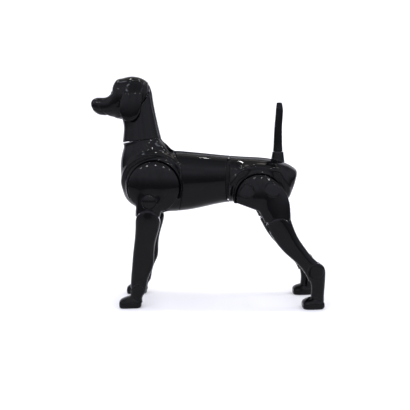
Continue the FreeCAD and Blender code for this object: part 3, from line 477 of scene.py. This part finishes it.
def make_limb_skins(material):
    """The moulded pieces whose discs, stubs and knuckles run into each other."""
    close = 0.20 * MM       # what is left of the gap round a knuckle
    gap = 0.6 * MM
    knuckle_margin = 1.5 * MM
    plug_radius = 14.5 * MM
    for side in SIDES:
        shoulder, elbow, wrist = (pivot_place(f"{name}_{side}") for name in ("shoulder", "elbow", "wrist"))
        hip, knee, hock = (pivot_place(f"{name}_{side}") for name in ("hip", "knee", "hock"))
        plug = [(low + high) / 2 for low, high in zip(*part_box(f"shoulder_plug_{side}"))]
        elbow_radius = knuckle_radius(f"elbow_{side}", f"forearm_outer_{side}")
        knee_radius = knuckle_radius(f"knee_{side}", f"shank_outer_{side}")
        wrist_radius = knuckle_radius(f"wrist_{side}", f"front_paw_{side}")
        hock_radius = knuckle_radius(f"hock_{side}", f"hind_foot_{side}")

        def arm_share(points):
            clear_of_elbow = side_distance(points, elbow) - elbow_radius - knuckle_margin
            clear_of_plug = (side_distance(points, (plug[0], plug[2])) - plug_radius) * 2
            clear_of_seat = np.abs(points[:, 1]) - 55 * MM
            clear = np.minimum(np.minimum(clear_of_elbow, clear_of_plug), clear_of_seat)
            return np.clip(clear / (5 * MM), 0, 1)

        def thigh_share(points):
            clear_of_knee = side_distance(points, knee) - knee_radius - knuckle_margin
            clear_of_parting = np.abs(points[:, 1]) - 57 * MM
            return np.clip(np.minimum(clear_of_knee, clear_of_parting) / (5 * MM), 0, 1)

        arm = finer_piece(f"upper_arm_skin_{side}", [f"upper_arm_{side}"], 1.0 * MM, 3)
        relax(arm, arm_share, 400)
        snap_round(arm, elbow, elbow_radius + close, 2.5 * MM)
        finish_piece(arm, f"upper_arm_{side}", material, "shell_plastic", f"upper_arm_{side}")

        cap = finer_piece(f"plug_cap_{side}", [f"shoulder_plug_{side}"], 0.5 * MM, 6)
        sculpt(cap, lambda points, normals: dome(points, normals, plug, plug_radius))
        finish_piece(cap, f"upper_arm_{side}", material, "shell_plastic", f"shoulder_plug_{side}")

        for half in ("outer", "inner"):
            thigh = finer_piece(f"thigh_{half}_skin_{side}", [f"thigh_{half}_{side}"], 1.0 * MM, 3)
            if half == "outer":
                relax(thigh, thigh_share, 150)
                press_flats(thigh, hip)
            snap_round(thigh, knee, knee_radius + close, 2.5 * MM)
            finish_piece(thigh, f"thigh_{side}", material, "shell_plastic", f"thigh_{half}_{side}")

        paw = finer_piece(f"front_paw_skin_{side}", [f"front_paw_{side}"], 0.7 * MM, 3)
        snap_round(paw, wrist, wrist_radius + gap - close, 1.6 * MM)
        finish_piece(paw, f"front_foot_{side}", material, "shell_plastic", f"front_paw_{side}")

        foot = finer_piece(f"hind_foot_skin_{side}", [f"hind_foot_{side}"], 0.8 * MM, 3)
        snap_round(foot, hock, hock_radius + gap - close, 1.6 * MM)
        sculpt(foot, lambda points, normals: ring_groove(points, hock, hock_radius - 2.5 * MM))
        finish_piece(foot, f"hind_foot_{side}", material, "shell_plastic", f"hind_foot_{side}")


def dome(points, normals, centre, radius):
    """A low dome on a disc's outer face."""
    reach = side_distance(points, (centre[0], centre[2])) / radius
    outward = np.clip(normals[:, 1] * np.sign(centre[1]), 0, 1)
    return 4.0 * MM * np.clip(1 - reach * reach, 0, 1) * outward


def ring_groove(points, centre, radius):
    """The fine groove round a hock's disc."""
    reach = side_distance(points, centre)
    return -0.8 * MM * bell(reach - radius, 0.9 * MM)


def press_flats(thigh, hip):
    """Two shallow oval flats on the haunch, which face a little upwards."""
    points = mesh_points(thigh.data)
    outward = np.sign(points[:, 1])
    on_face = smooth_step((np.abs(points[:, 1]) - 57 * MM) / (2 * MM))
    for along, up in ((-28 * MM, 12.5 * MM), (25.5 * MM, 18.5 * MM)):
        rise = points[:, 2] - (hip[1] + up)
        reach = np.hypot(points[:, 0] - (hip[0] + along), rise)
        inside = smooth_step((17 * MM - reach) / (3 * MM)) * on_face
        points[:, 1] -= outward * inside * (0.9 * MM + 0.14 * rise)
    set_points(thigh.data, points)


# ---------------------------------------------------------------- trunk

def make_trunk_skins(material):
    """Chest, middle and rear shells, whose bosses swell out of the flanks."""
    for side in SIDES:
        shoulder, hip = pivot_place(f"shoulder_{side}"), pivot_place(f"hip_{side}")
        chest = finer_piece(f"chest_skin_{side}", [f"chest_shell_{side}"], 1.0 * MM, 2)
        near_seat = ring_share(shoulder, 55 * MM, 68 * MM, 86 * MM)
        neck_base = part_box("neck_shell_left")[0].z
        seam_start = -66 * MM       # the chest's skin is left alone behind this, up to its seam

        def chest_share(points):
            under_neck = np.clip((neck_base - 6 * MM - points[:, 2]) / (8 * MM), 0, 1)
            before_seam = np.clip((seam_start - points[:, 0]) / (8 * MM), 0, 1)
            return near_seat(points) * under_neck * before_seam

        relax(chest, chest_share, 150)
        sculpt(chest, lambda points, normals: boss_swell(points, normals, shoulder, 65 * MM, 4.0 * MM))
        lower_neck_cut(chest)
        seat = (shoulder[0] + 2.0 * MM, shoulder[1] + 1.2 * MM)
        snap_round(chest, seat, 54.0 * MM, 3.5 * MM, inward_limit=40 * MM)
        finish_piece(chest, "chest", material, "shell_plastic", f"chest_shell_{side}")

        middle = finer_piece(f"middle_skin_{side}", [f"middle_shell_{side}"], 1.2 * MM, 2)
        shape_seam(middle, -1, 0.9 * MM, 0.2 * MM)
        shape_seam(middle, 1, 0.9 * MM, 0.5 * MM)
        finish_piece(middle, "chest", material, "shell_plastic", f"middle_shell_{side}")

        rear = finer_piece(f"rear_skin_{side}", [f"rear_shell_{side}"], 1.0 * MM, 2, add_backing=back_rump)
        about_hip = ring_share(hip, 50 * MM, 62 * MM, 80 * MM)
        waist_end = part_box(f"rear_shell_{side}")[0].x
        behind_waist = away_from(waist_end + 8 * MM, 1.0, 8 * MM)
        relax(rear, lambda points: about_hip(points) * behind_waist(points), 150)
        sculpt(rear, lambda points, normals: rump_muscles(points, normals, hip))
        finish_piece(rear, "rear", material, "shell_plastic", f"rear_shell_{side}")


def back_rump(build):
    """Fills the rump's end with a solid of its outer shape, as the CAD's wall there is too thin to remesh.

    It also covers the small opening that the CAD has in that wall, under the tail.
    """
    build.normal_update()
    low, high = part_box("rear_shell_left")
    outer = [
        point.co.copy() for point in build.verts
        if point.co.x > high.x - 28 * MM and point.normal.x > 0.05 and point.co.z > low.z + 20 * MM
    ]
    corners = [build.verts.new(place) for place in outer]
    hull = bmesh.ops.convex_hull(build, input=corners)
    unused = set(hull["geom_interior"]) | set(hull["geom_unused"])
    loose = [item for item in unused if isinstance(item, bmesh.types.BMVert) and not item.link_faces]
    bmesh.ops.delete(build, geom=loose, context="VERTS")


def outward_share(points, normals):
    """1 where a trunk shell's surface faces out from the middle, 0 on its inside."""
    level = 255 * MM
    outward = points[:, 1] * normals[:, 1] + (points[:, 2] - level) * normals[:, 2]
    return (outward > 0).astype(float)


def boss_swell(points, normals, centre, radius, height):
    """The rounded ring that rises from the flank above a limb's seat."""
    reach = side_distance(points, centre)
    above = smooth_step((points[:, 2] - centre[1] + 20 * MM) / (35 * MM))
    flank = smooth_step((np.abs(points[:, 1]) - 10 * MM) / (14 * MM))
    return height * bell(reach - radius, 6 * MM) * above * flank * outward_share(points, normals)


def rump_muscles(points, normals, hip):
    """The ring over the hip's seat, with a rounder muscle before and behind it."""
    depth = boss_swell(points, normals, hip, 62 * MM, 3.0 * MM)
    flank = smooth_step((np.abs(points[:, 1]) - 8 * MM) / (12 * MM)) * outward_share(points, normals)
    for along, up in ((-31 * MM, 54 * MM), (37 * MM, 54 * MM)):
        reach = side_distance(points, (hip[0] + along, hip[1] + up))
        depth += 5.0 * MM * bell(reach, 11 * MM) * flank
    return depth


def shape_seam(middle, end, draw_back, close):
    """Draws the middle's front (-1) or rear (1) edge back on the flanks, so that its seam is a dark line.

    On the back and the belly, where light would show through, it closes the seam instead.
    """
    points = mesh_points(middle.data)
    levels = np.round(points[:, 2] / (4 * MM)).astype(int)
    levels -= levels.min()
    reach = points[:, 0] * end
    edge = np.full(levels.max() + 1, -1.0)
    np.maximum.at(edge, levels, reach)
    behind = edge[levels] - reach
    flank = smooth_step((np.abs(points[:, 1]) - 24 * MM) / (8 * MM))
    shift = close - (close + draw_back) * flank
    points[:, 0] += end * shift * smooth_step(1 - behind / (14 * MM))
    set_points(middle.data, points)


def make_tail_skin(material):
    """The tail, which swells a little backwards under its tip."""
    low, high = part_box("tail")
    tail = finer_piece("tail_skin", ["tail"], 0.8 * MM, 5)
    points = mesh_points(tail.data)
    height = (points[:, 2] - low.z) / (high.z - low.z)
    points[:, 0] += 1.3 * MM * bell(height - 0.86, 0.16) - 0.6 * MM * bell(height - 0.45, 0.25)
    foot = 0.16 * smooth_step(1 - height / 0.3)
    points[:, :2] += (points[:, :2] - np.array((low.x + high.x, low.y + high.y)) / 2) * foot[:, None]
    set_points(tail.data, points)
    finish_piece(tail, "tail", material, "shell_plastic", "tail")


# ---------------------------------------------------------------- carried-over nodes

def dress_cad_nodes(looks):
    """Gives each shown CAD node the material of its slot."""
    slots = {subpart["node"]: subpart["material_slot"] for subpart in frame["record"]["subparts"]}
    for name, obj in nodes.items():
        obj.data.materials.clear()
        obj.data.materials.append(looks[slots[name]])
        for polygon in obj.data.polygons:
            polygon.use_smooth = True


# ---------------------------------------------------------------- studio

def make_sweep():
    """White paper that runs under the dog and curves up behind it."""
    half_width = 4.0
    front, bend, radius, top = -2.6, 1.4, 0.8, 3.2
    profile = [(front, 0.0), (bend, 0.0)]
    for step in range(1, 13):
        angle = math.radians(7.5 * step)
        profile.append((bend + radius * math.sin(angle), radius * (1 - math.cos(angle))))
    profile.append((bend + radius, top))
    build = bmesh.new()
    rows = [[build.verts.new((x, y, z)) for x in (-half_width, half_width)] for y, z in profile]
    for near, far in zip(rows, rows[1:]):
        build.faces.new((near[0], near[1], far[1], far[0])).smooth = True
    mesh = bpy.data.meshes.new("paper_sweep")
    build.to_mesh(mesh)
    build.free()
    mesh.materials.append(paper_sweep())
    sweep = bpy.data.objects.new("paper_sweep", mesh)
    bpy.context.scene.collection.objects.link(sweep)


def softbox(name, place, target, size, power, tint=(1, 1, 1)):
    """A rectangular lamp at a place, turned to a target."""
    lamp = bpy.data.lights.new(name, "AREA")
    lamp.shape = "RECTANGLE"
    lamp.size, lamp.size_y = size
    lamp.energy = power
    lamp.color = tint
    holder = bpy.data.objects.new(name, lamp)
    holder.location = place
    holder.rotation_euler = (Vector(target) - Vector(place)).to_track_quat("-Z", "Y").to_euler()
    bpy.context.scene.collection.objects.link(holder)


SPARKLE_COUNT = 10
SPARKLE_POWER = 1.5
SPARKLE_SIZE = 0.045
PATCH_POWER = 1.2


def make_lights():
    """A wide lamp overhead, one on the paper behind, and small ones in front and above that sparkle."""
    body = (0.0, 0.0, 0.25)
    warm, cool = (1.0, 0.93, 0.82), (0.80, 0.85, 1.0)
    softbox("overhead", (0.0, 0.25, 1.9), (0.0, 0.15, 0.0), size=(2.2, 1.0), power=3, tint=warm)
    softbox("behind", (0.0, 1.0, 2.4), (0.0, 2.2, 0.6), size=(3.6, 0.5), power=13, tint=warm)
    for number in range(SPARKLE_COUNT):
        share = number / (SPARKLE_COUNT - 1) - 0.5
        y, z = (0.1, 1.75) if number % 2 else (-1.3, 1.5)
        place = (2.4 * share, y, z)
        softbox(f"sparkle_{number + 1}", place, body, (SPARKLE_SIZE, SPARKLE_SIZE), SPARKLE_POWER)
    for number, x in enumerate((-0.75, 0.85), 1):
        softbox(f"patch_{number}", (x, -0.35, 1.8), body, (0.36, 0.14), PATCH_POWER, cool)
    make_world()


def make_world():
    """A cool sky, brightest in front of the dog and half way up, with faint upright bands."""
    world = bpy.data.worlds.new("studio")
    bpy.context.scene.world = world
    world.use_nodes = True
    tree = world.node_tree
    background = next(made for made in tree.nodes if made.type == "BACKGROUND")
    direction = node(tree, "ShaderNodeTexCoord").outputs["Generated"]
    split = node(tree, "ShaderNodeSeparateXYZ", {"Vector": direction}).outputs
    heights = [(0.0, 0.2), (0.12, 0.4), (0.3, 0.85), (0.6, 1.0), (0.85, 0.55), (1.0, 0.4)]
    glow = ramp(tree, split["Z"], heights)
    inputs = {"Value": split["Y"], "From Min": -0.4, "From Max": 0.5, "To Min": 1.0, "To Max": 0.2}
    glow = arithmetic(tree, "MULTIPLY", glow, node(tree, "ShaderNodeMapRange", inputs).outputs[0])
    bands = noise(tree, stretched(tree, direction, (7.0, 7.0, 0.5)), 1.0, detail=2.0)
    bands = ramp(tree, bands, [(0.38, 0.8), (0.5, 0.93), (0.6, 1.0)])
    glow = arithmetic(tree, "MULTIPLY", glow, bands)
    tree.links.new(mix_colour(tree, glow, (0, 0, 0, 1), (0.87, 0.88, 1, 1)), background.inputs["Color"])
    background.inputs["Strength"].default_value = 2.1


def make_camera():
    """A view of the dog's left side from a metre away, a little from above."""
    data = bpy.data.cameras.new("camera")
    data.sensor_width = 36
    data.lens = 43.04
    camera = bpy.data.objects.new("camera", data)
    camera.location = (-0.0143, -1.0308, 0.3121)
    yaw, pitch, roll = math.radians(-0.54), math.radians(-5.907), math.radians(0.475)
    look = Vector((-math.sin(yaw) * math.cos(pitch), math.cos(yaw) * math.cos(pitch), math.sin(pitch)))
    camera.rotation_mode = "QUATERNION"
    camera.rotation_quaternion = look.to_track_quat("-Z", "Y") @ Quaternion((0, 0, 1), roll)
    bpy.context.scene.collection.objects.link(camera)
    bpy.context.scene.camera = camera


make_camera()
looks = {
    "shell_plastic": gloss_plastic("shell_plastic"),
    "inner_nylon": matte_nylon(),
    "pivot_steel": brushed_steel(),
}
dress_cad_nodes(looks)
make_head(looks["shell_plastic"])
make_limb_skins(looks["shell_plastic"])
make_trunk_skins(looks["shell_plastic"])
make_tail_skin(looks["shell_plastic"])
make_sweep()
make_lights()
bpy.context.scene.view_settings.view_transform = "Standard"
